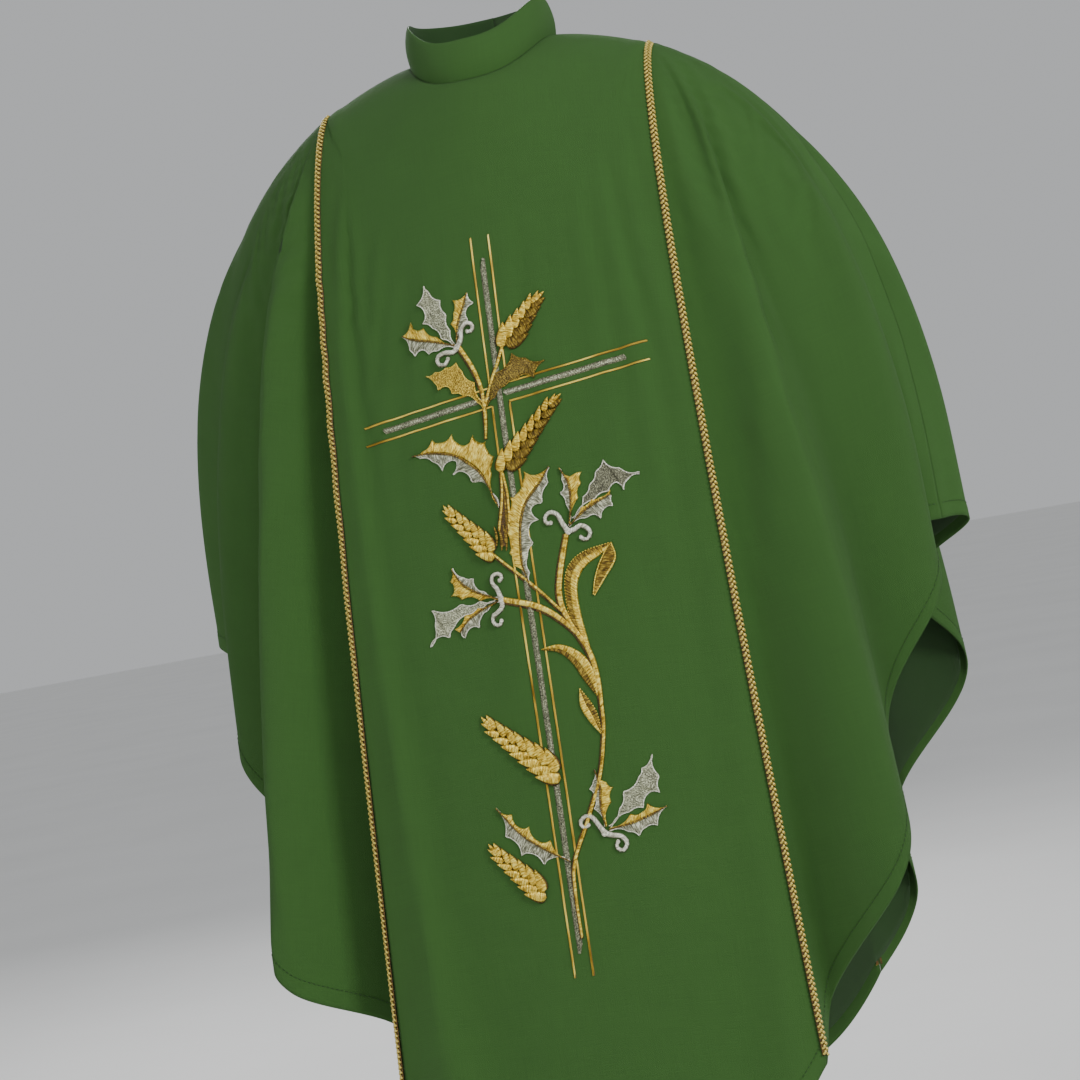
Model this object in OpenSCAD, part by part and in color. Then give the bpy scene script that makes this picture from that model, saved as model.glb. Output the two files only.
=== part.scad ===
// Chasuble: a lined, embroidered poncho-shaped vestment, drawn as it hangs from the shoulders.
// Millimetres. Origin at the middle of the neck opening, level with the tops of the shoulders.
// +Z up, -Y towards the front, +X towards the wearer's left.

/* [Garment] */
// Length of the front below its neck edge
front_length = 1150; // [1000:10:1250]
// Length of the back below its neck edge
back_length = 1195; // [1050:10:1300]
// How far each side stands out at the hem
side_reach = 405; // [360:5:450]
// How far the side hems hang below the shoulders
side_drop = 560; // [480:10:640]
// How far the front hem stands out before the wearer
front_reach = 250; // [210:5:290]
// How far the back hem stands out behind the wearer
back_reach = 225; // [190:5:260]

/* [Neck] */
// Half width of the neck opening
neck_half_width = 80; // [70:1:95]
// Height of the standing collar
collar_height = 44; // [30:1:60]

/* [Orphrey] */
// Drop from the shoulders to the crossing of the cross
cross_drop = 365; // [330:5:400]
// Half width of the centre panel, level with the crossing
panel_half_width = 194; // [170:1:210]
// How much each edge of the centre panel spreads, per millimetre of drop
panel_flare = 0.034; // [0:0.002:0.06]
// Width of the plaited braid over the panel seams
braid_width = 9; // [6:0.5:14]

/* [Folds] */
// Height of the folds at the hem
fold_height = 30; // [10:1:34]
// Folds on the wearer's left side
left_folds = 5; // [4:1:6]
// Folds on the wearer's right side
right_folds = 6; // [4:1:6]

/* [Hidden] */

// Neck opening: where its front, sides and back lie
neck_front = 92;
neck_front_z = -32;
neck_back = 70;
neck_back_z = 14;
neck_side_z = 10;
// How square the hem curve is: 2 is pointed, larger is rounder
hem_roundness = 2.7;
// Layers, as distances from the outer face of the cloth along its normal
cloth_in = -1.0;
interfacing_out = -1.3;
interfacing_in = -1.8;
tape_out = -3.6;
tape_in = -4.1;
lining_out = -3.0;
lining_gap = 4;
lining_thick = 0.6;
seam_gap = 0.15;
fold_start = 0.14;
stitch_depth = -0.4;
collar_seam = 6;
thread_height = 1.2;
// Hanging loop and label
loop_width = 62;
loop_length = 26;
ribbon_width = 6;
loop_thick = 1.2;
loop_y = 60;
loop_z = 14;
// Embroidery: widths and heights above the cloth
silver_width = 7;
edging_width = 3;
edging_gap = 19;
bar_slope = 0.11;
stem_width = 3;
stem_top = 1.6;
leaf_top = 2.0;
ear_width = 20;
ear_top = 2.4;
sepal_width = 6;
flower_top = 2.2;
sepal_top = 2.6;
braid_height = 2.2;
// Rows from the neck to the hem, as shares of the length
PANEL_ROWS = [0, 0.002, 0.01, 0.03, 0.07, 0.1, 0.115, 0.125, 0.14, 0.17, 0.21, 0.26, 0.32, 0.39, 0.47, 0.57, 0.68, 0.79, 0.9, 1];
SIDE_ROWS = [0.14, 0.165, 0.21, 0.26, 0.32, 0.39, 0.47, 0.57, 0.68, 0.79, 0.9, 1];
INTERFACING_ROWS = [0.1, 0.115, 0.125, 0.14, 0.17, 0.21, 0.26, 0.32, 0.39, 0.47, 0.57, 0.68, 0.79];
LINING_ROWS = [0.078, 0.1, 0.12, 0.14, 0.17, 0.21, 0.3, 0.41, 0.55, 0.7, 0.85, 0.99];
FACING_ROWS = [0.002, 0.01, 0.03, 0.07];
TAPE_ROWS = [0.08, 0.1, 0.115, 0.125, 0.14, 0.165, 0.21, 0.26, 0.32, 0.39, 0.47, 0.57, 0.68, 0.79, 0.9, 1];
BRAID_ROWS = 22;
PANEL_COLUMNS = 16;
SIDE_COLUMNS = 18;
LINING_COLUMNS = 32;

// ---- The hanging shape. turn: 0 at the front, 90 at the wearer's left, 180 at the back.
// s: 0 at the neck edge, 1 at the hem.
function side_x(s) = neck_half_width + (side_reach - neck_half_width) * (1 - pow(1 - s, 3));
function side_z(s) = neck_side_z - (side_drop + neck_side_z) * pow(s, 1.35);
function centre_y(s, back) = back ? neck_back + (back_reach - neck_back) * pow(s, 0.5)
    : -neck_front - (front_reach - neck_front) * pow(s, 0.55);
function centre_z(s, back) = back ? neck_back_z - back_length * s : neck_front_z - front_length * s;
function sideways(x) = pow(min(1, abs(x)), hem_roundness);
function level(s, back, x) = let(k = sideways(x)) centre_z(s, back) * (1 - k) + side_z(s) * k;
function smooth_hang(turn, s) = let(c = cos(turn), n = sin(turn), back = c < 0)
    [side_x(s) * n, centre_y(s, back) * abs(c), level(s, back, n)];

// ---- Edge of the centre panel: a line that spreads evenly as it drops
function edge_x(s, back, tries = 3) = tries == 0 ? panel_half_width
    : panel_half_width - panel_flare * (cross_drop + level(s, back, edge_x(s, back, tries - 1) / side_x(s)));
function edge_turn(s, back) = asin(min(1, edge_x(s, back) / side_x(s)));

// ---- Folds: pleats that deepen towards the hem, only outside the centre panel
function fold_growth(s) = s < fold_start ? 0 : pow((s - fold_start) / (1 - fold_start), 0.8);
function fold(turn, s) = let(right = sin(turn) < 0, a = turn > 180 ? 360 - turn : abs(turn),
        f = edge_turn(s, false), b = 180 - edge_turn(s, true),
        share = b - f < 1 ? 0 : max(0, min(1, (a - f) / (b - f))))
    -fold_height * fold_growth(s) * sin(360 * (right ? right_folds : left_folds) * share)
        * (1 + 0.3 * cos(540 * share));
function hang(turn, s) = smooth_hang(turn, s) + fold(turn, s) * [sin(turn), -cos(turn), 0];
function unit(v) = v / norm(v);
function normal_at(turn, s) = let(down = hang(turn, min(1, s + 0.004)) - hang(turn, max(0, s - 0.004)))
    unit(cross(down, hang(turn + 0.4, s) - hang(turn - 0.4, s)));
function smooth_normal(turn, s) = let(
        down = smooth_hang(turn, min(1, s + 0.004)) - smooth_hang(turn, max(0, s - 0.004)))
    unit(cross(down, smooth_hang(turn + 0.4, s) - smooth_hang(turn - 0.4, s)));
function cloth(turn, s, h) = hang(turn, s) + h * normal_at(turn, s);

// ---- A closed sheet from two grids of points, the outer one first
function wrap(grid) = [for (row = grid) for (p = row) p];
module sheet(outer, inner) {
    rows = len(outer);
    cols = len(outer[0]);
    back = rows * cols;
    function at(r, c) = r * cols + c;
    quads = [for (r = [0 : rows - 2]) for (c = [0 : cols - 2])
        [at(r, c), at(r, c + 1), at(r + 1, c + 1), at(r + 1, c)]];
    rim = concat([for (c = [0 : cols - 2]) [at(0, c + 1), at(0, c)]],
        [for (r = [0 : rows - 2]) [at(r, 0), at(r + 1, 0)]],
        [for (c = [0 : cols - 2]) [at(rows - 1, c), at(rows - 1, c + 1)]],
        [for (r = [0 : rows - 2]) [at(r + 1, cols - 1), at(r, cols - 1)]]);
    faces = concat(
        [for (q = quads) each [[q[0], q[1], q[2]], [q[0], q[2], q[3]]]],
        [for (q = quads) each [[q[2] + back, q[1] + back, q[0] + back], [q[3] + back, q[2] + back, q[0] + back]]],
        [for (e = rim) each [[e[0], e[1], e[1] + back], [e[0], e[1] + back, e[0] + back]]]);
    polyhedron(points = concat(wrap(outer), wrap(inner)), faces = faces, convexity = 10);
}

// A ring-shaped wall, from rows of points that go right round
module ring(outer, inner) {
    rows = len(outer);
    cols = len(outer[0]);
    back = rows * cols;
    function at(r, c) = r * cols + c % cols;
    quads = [for (r = [0 : rows - 2]) for (c = [0 : cols - 1])
        [at(r, c), at(r, c + 1), at(r + 1, c + 1), at(r + 1, c)]];
    rim = concat([for (c = [0 : cols - 1]) [at(0, c + 1), at(0, c)]],
        [for (c = [0 : cols - 1]) [at(rows - 1, c), at(rows - 1, c + 1)]]);
    faces = concat(
        [for (q = quads) each [[q[0], q[1], q[2]], [q[0], q[2], q[3]]]],
        [for (q = quads) each [[q[2] + back, q[1] + back, q[0] + back], [q[3] + back, q[2] + back, q[0] + back]]],
        [for (e = rim) each [[e[0], e[1], e[1] + back], [e[0], e[1] + back, e[0] + back]]]);
    polyhedron(points = concat(wrap(outer), wrap(inner)), faces = faces, convexity = 10);
}

// ---- Cloth pieces: each spans a range of turns that may change from row to row
function span(piece, s) = let(g = seam_gap, f = edge_turn(s, false), b = 180 - edge_turn(s, true))
    piece == "front_centre" ? [g - f, f - g]
    : piece == "back_centre" ? [b + g, 360 - b - g]
    : piece == "front_backing" ? [-f, f] * (1 - 2 / PANEL_COLUMNS)
    : piece == "back_backing" ? [180, 180] + [b - 180, 180 - b] * (1 - 2 / PANEL_COLUMNS)
    : piece == "front_left" ? [f + g, 90 - g]
    : piece == "back_left" ? [90 + g, b - g]
    : piece == "front_right" ? [g - 90, -f - g]
    : piece == "back_right" ? [g - b, -90 - g]
    : piece == "front" ? [g - 90, 90 - g]
    : piece == "back" ? [90 + g, 270 - g]
    : piece == "left_seam" ? [88.5, 91.5]
    : piece == "right_seam" ? [-91.5, -88.5]
    : [171, 189];
function grid(piece, rows, cols, h) = [for (s = rows) let(r = span(piece, s))
    [for (c = [0 : cols]) cloth(r[0] + (r[1] - r[0]) * c / cols, s, h)]];
module layer(piece, rows, cols, outer_h, inner_h) {
    sheet(grid(piece, rows, cols, outer_h), grid(piece, rows, cols, inner_h));
}

// The lining hangs smooth, inside the deepest of the folds
function lining_point(turn, s, h) = let(in = h - lining_gap - 1.35 * fold_height * fold_growth(s))
    smooth_hang(turn, s) + in * smooth_normal(turn, s);
function lining_grid(piece, h) = [for (s = LINING_ROWS) let(r = span(piece, s))
    [for (c = [0 : LINING_COLUMNS]) lining_point(r[0] + (r[1] - r[0]) * c / LINING_COLUMNS, s, h)]];

module front_centre_panel() { color("#3c5c2b") layer("front_centre", PANEL_ROWS, PANEL_COLUMNS, 0, cloth_in); }
module back_centre_panel() { color("#3c5c2b") layer("back_centre", PANEL_ROWS, PANEL_COLUMNS, 0, cloth_in); }
module side_panel(piece) { color("#3a5a2a") layer(piece, SIDE_ROWS, SIDE_COLUMNS, 0, cloth_in); }
module lining(piece) {
    color("#2f4a28") sheet(lining_grid(piece, lining_out), lining_grid(piece, lining_out - lining_thick));
}
module interfacing(piece) {
    color("#e8e6da") layer(piece, INTERFACING_ROWS, PANEL_COLUMNS - 2, interfacing_out, interfacing_in);
}
module shoulder_tape(piece) { color("#d9d6c6") layer(piece, TAPE_ROWS, 2, tape_out, tape_in); }
module blank_label() { color("#f0ecdf") layer("label", [0.085, 0.11], 6, lining_out - lining_gap - 1.3, lining_out - lining_gap - 1.7); }

// ---- Neck: collar layers and facing run right round the opening
function neck_edge(turn, away) = let(p = smooth_hang(turn, 0), r = 1 + away / norm([p.x, p.y]))
    [p.x * r, p.y * r, p.z];
function collar_rows(away) = [for (t = [1, 0.6, 0.2, 0]) [for (turn = [0 : 9 : 351])
    neck_edge(turn, away - 5 * t * t) + [0, 0, (collar_height + collar_seam) * t - collar_seam]]];
module collar_layer(outer, inner) { ring(collar_rows(outer), collar_rows(inner)); }
module collar_outer() { color("#3c5c2b") collar_layer(-0.4, -1.4); }
module collar_interfacing() { color("#e8e6da") collar_layer(-1.6, -2.1); }
module collar_lining() { color("#2f4a28") collar_layer(-2.3, -3.0); }
function facing_rows(h) = [for (s = FACING_ROWS) [for (turn = [0 : 9 : 351]) cloth(turn, s, h)]];
module neck_facing() { color("#2f4a28") ring(facing_rows(lining_out), facing_rows(lining_out - lining_thick)); }

// Hanging loop: a ribbon sewn by both ends inside the back of the neck. It swings on its stitches.
module hanging_loop() {
    color("#3f5f33") translate([0, loop_y, loop_z]) rotate([90, 0, 0]) linear_extrude(loop_thick)
        difference() {
            translate([-loop_width / 2, -loop_length]) square([loop_width, loop_length]);
            translate([-loop_width / 2 + ribbon_width, -loop_length + ribbon_width])
                square([loop_width - 2 * ribbon_width, loop_length]);
        }
}

// ---- Work laid on a centre panel. u: across to the right as seen from outside, v: down from the crossing
function find_s(x, z, back, low = 0, high = 1, tries = 15) = let(s = (low + high) / 2)
    tries == 0 ? s : level(s, back, x / side_x(s)) > z ? find_s(x, z, back, s, high, tries - 1) : find_s(x, z, back, low, s, tries - 1);
function on_panel(p, h, back) = let(s = find_s(p[0], -cross_drop - p[1], back),
        t = asin(max(-1, min(1, p[0] / side_x(s)))))
    cloth(back ? 180 + t : t, s, h);

// Points along a bowed line, and the widths of a pointed leaf
function bow(a, b, lift, n = 8) = let(d = b - a, side = [d[1], -d[0]] / norm(d))
    [for (i = [0 : n]) let(t = i / n) a + d * t + side * lift * 4 * t * (1 - t)];
function leaf_widths(w, n = 8) = [for (i = [0 : n]) max(0.8, w * pow(sin(180 * i / n), 0.8))];
function heading(path, i) = unit(path[min(i + 1, len(path) - 1)] - path[max(i - 1, 0)]);
function rails(path, widths, h, back) = [for (i = [0 : len(path) - 1])
    let(d = heading(path, i), n = [d[1], -d[0]] * widths[i] / 2)
    [on_panel(path[i] - n, h, back), on_panel(path[i] + n, h, back)]];
module strip(path, widths, top = thread_height, back = false) {
    sheet(rails(path, widths, top, back), rails(path, widths, stitch_depth, back));
}
module line_of(path, width, top = thread_height, back = false) {
    strip(path, [for (p = path) width], top, back);
}
module leaf(base, tip, width, lift = 0, top = leaf_top) {
    strip(bow(base, tip, lift), leaf_widths(width), top);
}
module stem(a, b, lift = 0) { line_of(bow(a, b, lift, 6), stem_width, stem_top); }

// ---- Plaited braids over the panel seams. f: 0 at the shoulder seam, 1 at the hem
function seam_start(x) = 1 - pow(1 - (x - neck_half_width) / (side_reach - neck_half_width), 1 / 3);
function braid_point(side, back, across, f, h) = let(
        first = seam_start(edge_x(0.12, back) + across), s = first + (1 - first) * f,
        t = asin(min(1, (edge_x(s, back) + across) / side_x(s))))
    cloth(side * (back ? 180 - min(t, 90 - seam_gap) : min(t, 90 - seam_gap)), s, h);
function braid_grid(side, back, h) = let(outward = (side > 0) != back ? 1 : -1)
    [for (i = [0 : BRAID_ROWS]) [for (a = [-1, 1])
        braid_point(side, back, outward * a * braid_width / 2, pow(i / BRAID_ROWS, 1.6), h)]];
module braid(side, back) {
    color("#c8a852") sheet(braid_grid(side, back, braid_height), braid_grid(side, back, stitch_depth));
}

// ---- The cross: silver bars between gold lines that turn at the crossing
function upright_at(v) = [0, v];
function bar_at(u) = [u, -bar_slope * u];
function bar_edge(u, off) = bar_at(u) + [0, off];
function upright_edge(v, off) = upright_at(v) + [off, 0];
module cross_upright(top, foot, back) {
    line_of([for (i = [0 : 14]) upright_at(top + (foot - top) * i / 14)], silver_width, thread_height, back);
}
module cross_arms(reach, back) {
    for (side = [-1, 1])
        line_of([for (i = [0 : 6]) bar_at(side * (silver_width / 2 + 0.4 + (reach - silver_width / 2) * i / 6))],
            silver_width, thread_height, back);
}
module gold_corner(side, end, reach, length, back) {
    gap = edging_gap / 2;
    line_of([for (i = [0 : 6]) upright_edge(end * (gap + 3 + (length - gap) * i / 6), side * gap)],
        edging_width, thread_height, back);
    line_of([for (i = [0 : 6]) bar_edge(side * (gap - 1 + (reach - gap) * i / 6), end * gap)],
        edging_width, thread_height, back);
}
module gold_edging(top, foot, reach, back) {
    for (side = [-1, 1]) {
        gold_corner(side, -1, reach, top, back);
        gold_corner(side, 1, reach, foot, back);
    }
}

// ---- Plant motifs: a flower of three petals in two curled sepals, an ear of wheat on its stem
module flower(base, tips, sepals, petal_width) {
    for (tip = tips) leaf(base + 5 * unit(tip - base), tip, petal_width, 0, flower_top);
    for (tip = sepals) leaf(base + 3 * unit(tip - base), tip, sepal_width, 3, sepal_top);
}
module wheat_ear(base, tip, foot, lift = 0) {
    color("#cba24a") {
        leaf(base, tip, ear_width, 0, ear_top);
        stem(foot, base + 1.5 * unit(foot - base), lift);
    }
}

module front_left_panel() { side_panel("front_left"); }
module front_right_panel() { side_panel("front_right"); }
module back_left_panel() { side_panel("back_left"); }
module back_right_panel() { side_panel("back_right"); }
module front_lining() { lining("front"); }
module back_lining() { lining("back"); }
module front_interfacing() { interfacing("front_backing"); }
module back_interfacing() { interfacing("back_backing"); }
module left_shoulder_tape() { shoulder_tape("left_seam"); }
module right_shoulder_tape() { shoulder_tape("right_seam"); }
module front_left_braid() { braid(1, false); }
module front_right_braid() { braid(-1, false); }
module back_left_braid() { braid(1, true); }
module back_right_braid() { braid(-1, true); }

module cross_silver_upright() { color("#9aa088") cross_upright(-140, 560, false); }
module cross_silver_bar() { color("#9aa088") cross_arms(132, false); }
module cross_gold_edging() { color("#b89a4e") gold_edging(163, 583, 155, false); }
module back_cross_silver() {
    color("#9aa088") {
        cross_upright(-140, 560, true);
        cross_arms(132, true);
    }
}
module back_cross_gold_edging() { color("#b89a4e") gold_edging(163, 583, 155, true); }

module main_stem() {
    color("#b89a4e") {
        stem([34, 232], [57, 305], 6);
        stem([57, 308], [46, 392], 8);
        stem([45, 395], [8, 470], 6);
        stem([7, 473], [4, 545], -3);
    }
}
module upper_left_flower() {
    color("#a9aa8a") flower([-35, -54], [[-22, -112], [-62, -118], [-95, -80]], [[-20, -76], [-58, -46]], 26);
}
module right_flower() {
    color("#a9aa8a") flower([50, 147], [[54, 88], [112, 92], [112, 128]], [[35, 128], [70, 154]], 26);
}
module lower_left_flower() {
    color("#a9aa8a") flower([-30, 204], [[-78, 165], [-112, 216], [-74, 240]], [[-28, 181], [-36, 226]], 26);
}
module lower_right_flower() {
    color("#a9aa8a") flower([40, 446], [[42, 388], [92, 386], [104, 430]], [[24, 430], [60, 456]], 26);
}
module top_wheat_ear() { wheat_ear([12, -46], [54, -92], [-10, -2], 3); }
module centre_wheat_ear() { wheat_ear([-2, 72], [64, 8], [-18, 112], 2); }
module left_wheat_ear() { wheat_ear([-32, 158], [-85, 98], [30, 226], 5); }
module lower_wheat_ear() { wheat_ear([-2, 382], [-76, 314], [42, 398], -4); }
module foot_wheat_ear() { wheat_ear([-26, 500], [-84, 440], [4, 544], 4); }
module left_gold_leaf() { color("#b3923f") leaf([-20, 8], [-74, -28], 26, 4); }
module right_bronze_leaf() { color("#8f7434") leaf([-12, 4], [48, -26], 20, -5); }
module holly_leaf() { color("#a8a066") leaf([-20, 108], [-104, 46], 34, 12); }
module centre_leaf() { color("#a8a066") leaf([2, 190], [40, 84], 34, 10); }
module bent_leaf() {
    color("#a3873c") {
        leaf([53, 275], [68, 176], 15, -14);
        leaf([74, 172], [72, 214], 12, 12);
    }
}
module crescent_leaf() { color("#a3873c") leaf([57, 308], [5, 260], 14, 12); }
module small_leaf() { color("#a3873c") leaf([57, 350], [40, 306], 10, 4); }
module foot_leaf() { color("#a8a066") leaf([4, 470], [-66, 408], 26, 10); }

front_centre_panel();
front_left_panel();
front_right_panel();
back_centre_panel();
back_left_panel();
back_right_panel();
front_lining();
back_lining();
front_interfacing();
back_interfacing();
neck_facing();
collar_outer();
collar_interfacing();
collar_lining();
left_shoulder_tape();
right_shoulder_tape();
front_left_braid();
front_right_braid();
back_left_braid();
back_right_braid();
hanging_loop();
blank_label();
cross_silver_upright();
cross_silver_bar();
cross_gold_edging();
main_stem();
upper_left_flower();
right_flower();
lower_left_flower();
lower_right_flower();
top_wheat_ear();
centre_wheat_ear();
left_wheat_ear();
lower_wheat_ear();
foot_wheat_ear();
left_gold_leaf();
right_bronze_leaf();
holly_leaf();
centre_leaf();
bent_leaf();
crescent_leaf();
small_leaf();
foot_leaf();
back_cross_silver();
back_cross_gold_edging();
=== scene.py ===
"""A green chasuble as it hangs from the shoulders, with its lining, plaited braids and embroidery.

Lengths are millimetres up to the point where a mesh is made, and metres after it.
A place on the garment is (turn, s): turn is 0 at the front, 90 at the wearer's left and 180 at the
back, and s runs from 0 at the neck to 1 at the hem. A place on a centre panel is (u, v): u to the
right as seen from outside, v down from the crossing of the cross.
"""
import math

import bpy
import numpy as np
from mathutils import Matrix, Vector


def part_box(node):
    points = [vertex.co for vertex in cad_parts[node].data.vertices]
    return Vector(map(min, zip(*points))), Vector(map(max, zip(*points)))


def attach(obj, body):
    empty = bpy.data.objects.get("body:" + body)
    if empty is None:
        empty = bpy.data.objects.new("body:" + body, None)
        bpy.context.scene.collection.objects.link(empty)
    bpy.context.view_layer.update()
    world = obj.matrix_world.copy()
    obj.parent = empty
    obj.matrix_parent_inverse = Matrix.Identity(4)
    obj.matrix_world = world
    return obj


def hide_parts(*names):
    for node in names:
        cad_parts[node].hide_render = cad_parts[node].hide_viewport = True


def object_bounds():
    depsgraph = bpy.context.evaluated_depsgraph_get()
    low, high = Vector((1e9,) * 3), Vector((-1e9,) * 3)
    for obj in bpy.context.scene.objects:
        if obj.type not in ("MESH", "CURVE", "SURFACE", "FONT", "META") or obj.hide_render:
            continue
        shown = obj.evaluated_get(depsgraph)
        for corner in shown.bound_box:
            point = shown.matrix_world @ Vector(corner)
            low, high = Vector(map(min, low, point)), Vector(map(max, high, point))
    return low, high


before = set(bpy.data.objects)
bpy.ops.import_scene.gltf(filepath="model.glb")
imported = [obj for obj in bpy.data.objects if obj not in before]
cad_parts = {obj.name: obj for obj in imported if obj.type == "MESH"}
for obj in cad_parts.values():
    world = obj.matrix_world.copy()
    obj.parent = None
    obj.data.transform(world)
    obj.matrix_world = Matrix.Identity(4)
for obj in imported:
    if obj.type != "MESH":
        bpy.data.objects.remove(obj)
CAD_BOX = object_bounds()
MM = 0.001

# ---- The garment's dimensions, as in the CAD model
FRONT_LENGTH, BACK_LENGTH = 1150, 1195
SIDE_REACH, SIDE_DROP = 405, 560
FRONT_REACH, BACK_REACH = 250, 225
NECK_HALF_WIDTH, NECK_SIDE_Z = 80, 10
NECK_FRONT, NECK_FRONT_Z = 92, -32
NECK_BACK, NECK_BACK_Z = 70, 14
COLLAR_HEIGHT = 44
CROSS_DROP = 365
PANEL_HALF_WIDTH, PANEL_FLARE = 194, 0.034
FOLD_HEIGHT, FOLD_START = 30, 0.14
LEFT_FOLDS, RIGHT_FOLDS = 5, 6
HEM_ROUNDNESS = 2.7
CLOTH_THICK = 0.9
CREASE_DEPTH, CREASE_START = 33, 0.17


def unit(vectors):
    return vectors / np.maximum(1e-9, np.linalg.norm(vectors, axis=-1, keepdims=True))


def distances(line):
    """How far along a line each of its points is."""
    return np.concatenate([[0], np.cumsum(np.linalg.norm(np.diff(line, axis=0), axis=1))])


# ---- The hanging shape
def side_x(s):
    return NECK_HALF_WIDTH + (SIDE_REACH - NECK_HALF_WIDTH) * (1 - (1 - s) ** 3)


def side_z(s):
    return NECK_SIDE_Z - (SIDE_DROP + NECK_SIDE_Z) * s ** 1.35


def centre_y(s, back):
    front_y = -NECK_FRONT - (FRONT_REACH - NECK_FRONT) * s ** 0.55
    return np.where(back, NECK_BACK + (BACK_REACH - NECK_BACK) * s ** 0.5, front_y)


def centre_z(s, back):
    return np.where(back, NECK_BACK_Z - BACK_LENGTH * s, NECK_FRONT_Z - FRONT_LENGTH * s)


def level(s, back, sideways):
    k = np.minimum(1, np.abs(sideways)) ** HEM_ROUNDNESS
    return centre_z(s, back) * (1 - k) + side_z(s) * k


def smooth_hang(turn, s):
    c, n = np.cos(np.radians(turn)), np.sin(np.radians(turn))
    back = c < 0
    return np.stack([side_x(s) * n, centre_y(s, back) * np.abs(c), level(s, back, n)], -1)


def edge_x(s, back):
    x = PANEL_HALF_WIDTH + 0 * s
    for _ in range(3):
        x = PANEL_HALF_WIDTH - PANEL_FLARE * (CROSS_DROP + level(s, back, x / side_x(s)))
    return x


def edge_turn(s, back):
    return np.degrees(np.arcsin(np.minimum(1, edge_x(s, back) / side_x(s))))


def fold_growth(s):
    return np.maximum(0, (s - FOLD_START) / (1 - FOLD_START)) ** 0.8


def side_share(turn, s):
    """0 at the front braid, 1 at the back braid, and how far round the side in between."""
    away = np.abs((turn + 180) % 360 - 180)
    first, last = edge_turn(s, False), 180 - edge_turn(s, True)
    return np.clip((away - first) / np.maximum(1, last - first), 0, 1) * (last - first >= 1)


def fold(turn, s):
    share = side_share(turn, s)
    count = np.where(np.sin(np.radians(turn)) < 0, RIGHT_FOLDS, LEFT_FOLDS)
    wave = np.sin(2 * np.pi * count * share) * (1 + 0.3 * np.cos(3 * np.pi * share))
    return -FOLD_HEIGHT * fold_growth(s) * wave


def step(value, first, last):
    """A smooth rise from 0 at first to 1 at last."""
    f = np.clip((value - first) / (last - first), 0, 1)
    return f * f * (3 - 2 * f)


def crease(turn, s):
    """The deep narrow valley, and the crest beyond it, beside the braid on the wearer's right."""
    share = side_share(turn, s)
    here = (np.sin(np.radians(turn)) < 0) * step(s, CREASE_START, CREASE_START + 0.16)
    valley = step(share, 0.003, 0.017) * (1 - step(share, 0.070, 0.112))
    crest = np.exp(-((share - 0.145) / 0.032) ** 2)
    return here * CREASE_DEPTH * (0.28 * crest - valley)


def outward(turn):
    a = np.radians(turn)
    return np.stack([np.sin(a), -np.cos(a), 0 * a], -1)


def hang(turn, s):
    return smooth_hang(turn, s) + (fold(turn, s) + crease(turn, s))[..., None] * outward(turn)


# ---- The simulated drape: how far each point settles away from the hanging shape
DRAPE_TURNS, DRAPE_ROWS = 168, 76
DRAPE_FRAMES = 26
DRAPE_LIMIT = 16
FORM_GAP = 3.0


def grid_faces(rows, cols, closed=False):
    at = lambda r, c: r * cols + c % cols
    return [(at(r, c), at(r + 1, c), at(r + 1, c + 1), at(r, c + 1))
            for r in range(rows - 1) for c in range(cols if closed else cols - 1)]


def ring_object(name, points):
    """A tube-like object from a grid of points whose columns go round and meet."""
    mesh = bpy.data.meshes.new(name)
    mesh.from_pydata((points.reshape(-1, 3) * MM).tolist(), [], grid_faces(*points.shape[:2], True))
    obj = bpy.data.objects.new(name, mesh)
    bpy.context.collection.objects.link(obj)
    return obj


def drape():
    """Lets the cloth settle under gravity over a padded form, and returns the settling on a grid."""
    s = np.linspace(0, 1, DRAPE_ROWS)[:, None] + np.zeros((1, DRAPE_TURNS))
    turn = np.linspace(0, 360, DRAPE_TURNS, endpoint=False)[None, :] + 0 * s
    start = hang(turn, s)
    deep = FORM_GAP + 1.3 * FOLD_HEIGHT * fold_growth(s) * np.sin(np.pi * side_share(turn, s)) ** 0.5
    form = ring_object("form", smooth_hang(turn, s) - deep[..., None] * outward(turn))
    form.modifiers.new("Collision", "COLLISION")
    form.collision.thickness_outer = 0.002
    form.collision.cloth_friction = 12
    cloth_obj = ring_object("drape", start)
    pinned = cloth_obj.vertex_groups.new(name="pinned")
    weight = np.clip((0.2 - s) / 0.1, 0, 1).ravel()
    for index in np.nonzero(weight > 0)[0]:
        pinned.add([int(index)], float(weight[index]), "REPLACE")
    cloth_mod = cloth_obj.modifiers.new("Cloth", "CLOTH")
    settings = cloth_mod.settings
    settings.quality = 6
    settings.mass = 0.25
    settings.tension_stiffness = settings.compression_stiffness = 25
    settings.shear_stiffness = 12
    settings.bending_stiffness = 3.0
    settings.air_damping = 3
    settings.vertex_group_mass = "pinned"
    cloth_mod.collision_settings.distance_min = 0.001
    cloth_mod.collision_settings.use_self_collision = False
    scene = bpy.context.scene
    for number in range(1, DRAPE_FRAMES + 1):
        scene.frame_set(number)
    settled = cloth_obj.evaluated_get(bpy.context.evaluated_depsgraph_get()).to_mesh()
    points = np.zeros(len(settled.vertices) * 3)
    settled.vertices.foreach_get("co", points)
    move = points.reshape(start.shape) / MM - start
    cloth_obj.to_mesh_clear()
    scene.frame_set(1)
    for obj in (form, cloth_obj):
        bpy.data.objects.remove(obj)
    size = np.linalg.norm(move, axis=-1, keepdims=True)
    return move * np.minimum(1, DRAPE_LIMIT / np.maximum(size, 1e-6))


SETTLED = drape()


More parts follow.
